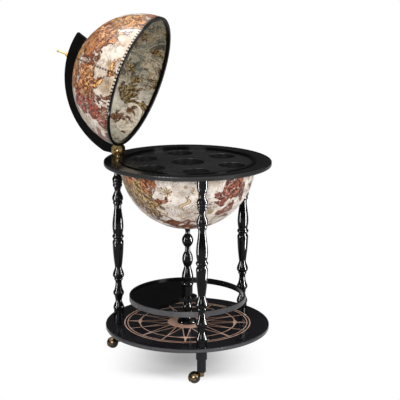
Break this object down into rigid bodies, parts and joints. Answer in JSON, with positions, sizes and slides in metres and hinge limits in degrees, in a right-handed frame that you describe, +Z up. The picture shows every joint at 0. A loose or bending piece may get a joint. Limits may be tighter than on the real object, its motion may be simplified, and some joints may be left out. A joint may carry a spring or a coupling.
{
  "type": "globe bar cabinet",
  "caption": "Floor-standing globe bar: turned legs on ball casters, round shelf with a gallery hoop, bowl in a top ring, domed map lid on a meridian arc that swings over.",
  "frame": {"origin": "centre of the bounding box at floor level, under the casters", "axes": "+X from the lid's hinge towards the open side, +Y across, away from the front leg, +Z up; the lid stands open"},
  "size_m": [0.6848, 0.51, 1.0673],
  "materials": {
    "lacquer": "black gloss lacquer",
    "beech": "bare",
    "map_print": "satin printed map under clear varnish",
    "map_lining": "satin printed map",
    "black_trim": "semi-gloss",
    "ball": "gloss",
    "brass": "antique, lacquered",
    "steel": "zinc plated"
  },
  "bodies": {
    "stand": {"bowl_trim": "black_trim", "caster_socket_back": "brass", "caster_socket_front": "brass", "caster_socket_hinge": "brass", "foot_back": "lacquer", "foot_front": "lacquer", "foot_hinge": "lacquer", "gallery_board": "lacquer", "gallery_hoop": "lacquer", "glass_tray": "black_trim", "hinge_bolt": "brass", "hinge_bracket": "brass", "hinge_cap_nut": "brass", "hinge_screws": "brass", "hoop_screws": "brass", "leg_back": "lacquer", "leg_dowels": "beech", "leg_front": "lacquer", "leg_hinge": "lacquer", "leg_studs": "steel", "lower_bowl": "map_print", "rod_nuts": "steel", "rod_washers": "steel", "shelf": "lacquer", "spindle_lower": "lacquer", "spindle_rod": "steel", "spindle_upper": "lacquer", "top_ring": "lacquer"},
    "lid_arm": {"meridian_arc": "lacquer", "pole_bush": "brass", "pole_nut": "brass", "pole_pin": "brass", "pin_nut": "brass"},
    "lid_globe": {"lid_shell": "map_print", "lid_liner": "map_lining", "lid_rim": "black_trim", "lid_hub": "brass"},
    "swivel_back": {"caster_hood_back": "brass", "caster_stem_back": "steel", "caster_axle_back": "steel"},
    "roller_back": {"caster_ball_back": "ball"},
    "swivel_front": {"caster_hood_front": "brass", "caster_stem_front": "steel", "caster_axle_front": "steel"},
    "roller_front": {"caster_ball_front": "ball"},
    "swivel_hinge": {"caster_hood_hinge": "brass", "caster_stem_hinge": "steel", "caster_axle_hinge": "steel"},
    "roller_hinge": {"caster_ball_hinge": "ball"}
  },
  "joints": [
    {"name": "lid_hinge", "type": "hinge", "parent": "stand", "child": "lid_arm", "pos_m": [-0.14062, 0, 0.6451], "axis": [0, 1, 0], "range_deg": [0, 73]},
    {"name": "lid_spin", "type": "hinge", "parent": "lid_arm", "child": "lid_globe", "pos_m": [-0.06488, 0, 0.86036], "axis": [-0.9563, 0, 0.2924], "continuous": true},
    {"name": "caster_swivel_back", "type": "hinge", "parent": "stand", "child": "swivel_back", "pos_m": [0.20338, 0.20092, 0.03], "axis": [0, 0, 1], "continuous": true},
    {"name": "caster_roll_back", "type": "hinge", "parent": "swivel_back", "child": "roller_back", "pos_m": [0.21005, 0.18154, 0.0175], "axis": [0.9455, 0.3256, 0], "continuous": true},
    {"name": "caster_swivel_front", "type": "hinge", "parent": "stand", "child": "swivel_front", "pos_m": [0.20338, -0.20092, 0.03], "axis": [0, 0, 1], "continuous": true},
    {"name": "caster_roll_front", "type": "hinge", "parent": "swivel_front", "child": "roller_front", "pos_m": [0.184, -0.20759, 0.0175], "axis": [0.3256, -0.9455, 0], "continuous": true},
    {"name": "caster_swivel_hinge", "type": "hinge", "parent": "stand", "child": "swivel_hinge", "pos_m": [-0.14462, 0, 0.03], "axis": [0, 0, 1], "continuous": true},
    {"name": "caster_roll_hinge", "type": "hinge", "parent": "swivel_hinge", "child": "roller_hinge", "pos_m": [-0.164, -0.00667, 0.0175], "axis": [0.3256, -0.9455, 0], "continuous": true}
  ]
}
